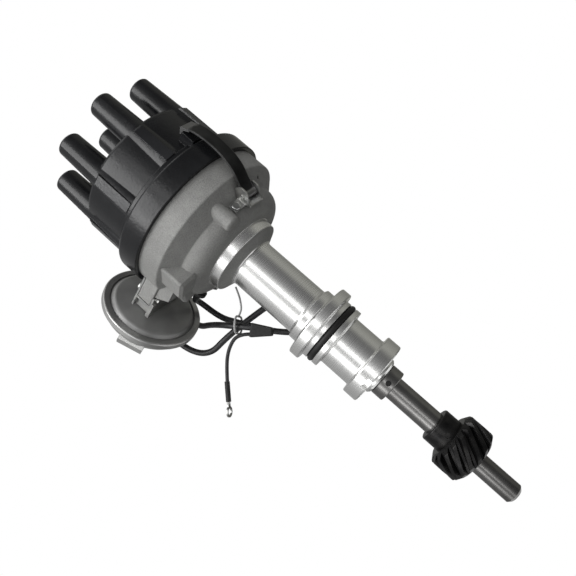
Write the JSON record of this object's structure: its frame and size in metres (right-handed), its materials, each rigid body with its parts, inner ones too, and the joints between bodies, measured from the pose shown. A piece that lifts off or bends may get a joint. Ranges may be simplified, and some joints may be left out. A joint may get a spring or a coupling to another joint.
{
  "type": "ignition distributor",
  "caption": "Ignition distributor with ribbed tower cap, cast aluminium housing, side vacuum canister, spring clips, leads, mounting flange, O-ring and helical drive gear",
  "frame": {"origin": "on the shaft axis in the plane of the mounting flange's underside", "axes": "+Z along the shaft axis from the gear to the cap; the picture looks along +Y; +X is to the picture's lower right side of the shaft"},
  "size_m": [0.1424, 0.1065, 0.3173],
  "materials": {
    "brass": "satin",
    "carbon": "matt",
    "cast_aluminium": "as cast, machined bands",
    "lead_insulation": "satin",
    "nylon_dark": "matt",
    "painted_steel": "satin paint",
    "phenolic_black": "satin moulded",
    "rubber": "matt",
    "sintered_bronze": "matt, oil soaked",
    "spring_steel": "matt",
    "steel": "turned and ground",
    "zinc_plated_steel": "zinc plated"
  },
  "bodies": {
    "base": {"housing": "cast_aluminium", "o_ring": "rubber", "lower_bush": "sintered_bronze", "upper_bush": "sintered_bronze", "fixed_plate": "zinc_plated_steel", "plate_screws": "zinc_plated_steel", "plate_snap_ring": "spring_steel", "distributor_cap": "phenolic_black", "cap_terminals": "brass", "centre_terminal": "brass", "brush_spring": "spring_steel", "clip_pins": "zinc_plated_steel", "clip_anchors": "zinc_plated_steel", "anchor_rivets": "zinc_plated_steel", "canister_shell": "painted_steel", "canister_cover": "zinc_plated_steel", "hose_duct": "zinc_plated_steel", "diaphragm": "rubber", "diaphragm_spring": "spring_steel", "canister_bracket": "zinc_plated_steel", "bracket_screws": "zinc_plated_steel", "lead_grommet": "rubber", "main_cable": "lead_insulation", "earth_lead": "lead_insulation", "lead_boot": "rubber", "heat_sleeve": "rubber", "ring_terminal": "zinc_plated_steel", "cable_tie": "nylon_dark"},
    "shaft": {"drive_shaft": "steel", "thrust_collar": "steel", "thrust_collar_pin": "steel", "drive_gear": "steel", "gear_pin": "steel", "advance_base_plate": "steel", "weight_posts": "steel", "sleeve_retainer": "spring_steel", "advance_springs": "spring_steel"},
    "weight_a": {"advance_weight_a": "steel"},
    "weight_b": {"advance_weight_b": "steel"},
    "rotor": {"timing_sleeve": "steel", "trigger_wheel": "steel", "rotor_arm": "phenolic_black", "rotor_blade": "brass"},
    "brush": {"carbon_brush": "carbon"},
    "pickup": {"pickup_plate": "zinc_plated_steel", "pole_piece": "steel", "pickup_module": "phenolic_black", "module_screws": "brass", "link_clip": "spring_steel"},
    "vacuum_rod": {"vacuum_link": "zinc_plated_steel", "diaphragm_plates": "zinc_plated_steel"},
    "clip_a": {"spring_clip_a": "spring_steel"},
    "clip_b": {"spring_clip_b": "spring_steel"}
  },
  "joints": [
    {"name": "shaft_spin", "type": "hinge", "parent": "base", "child": "shaft", "pos_m": [0, 0, -0.02], "axis": [0, 0, 1], "continuous": true},
    {"name": "advance_turn", "type": "hinge", "parent": "shaft", "child": "rotor", "pos_m": [0, 0, 0.095], "axis": [0, 0, 1], "range_deg": [0, 11.5], "deforming": ["advance_springs"]},
    {"name": "weight_a_swing", "type": "hinge", "parent": "shaft", "child": "weight_a", "pos_m": [0.022, 0, 0.0784], "axis": [0, 0, 1], "range_deg": [0, 12]},
    {"name": "weight_b_swing", "type": "hinge", "parent": "shaft", "child": "weight_b", "pos_m": [-0.022, 0, 0.0784], "axis": [0, 0, 1], "range_deg": [0, 12]},
    {"name": "vacuum_slide", "type": "slide", "parent": "base", "child": "vacuum_rod", "axis": [-0.8151, 0.5793, 0], "range_m": [0, 0.004], "deforming": ["diaphragm", "diaphragm_spring"]},
    {"name": "pickup_turn", "type": "hinge", "parent": "base", "child": "pickup", "pos_m": [0, 0, 0.0905], "axis": [0, 0, -1], "range_deg": [0, 12.8]},
    {"name": "brush_press", "type": "slide", "parent": "base", "child": "brush", "axis": [0, 0, 1], "range_m": [0, 0.0015], "deforming": ["brush_spring"]},
    {"name": "clip_a_swing", "type": "hinge", "parent": "base", "child": "clip_a", "pos_m": [0.02745, -0.03271, 0.0768], "axis": [0.766, 0.6428, 0], "range_deg": [0, 95]},
    {"name": "clip_b_swing", "type": "hinge", "parent": "base", "child": "clip_b", "pos_m": [-0.02449, 0.03498, 0.0768], "axis": [-0.8192, -0.5736, 0], "range_deg": [0, 95]}
  ],
  "couplings": [
    {"joint": "weight_a_swing", "follows": "advance_turn", "ratio": 1.017},
    {"joint": "weight_b_swing", "follows": "advance_turn", "ratio": 1.017},
    {"joint": "pickup_turn", "follows": "vacuum_slide", "rad_per_m": 55.249}
  ]
}
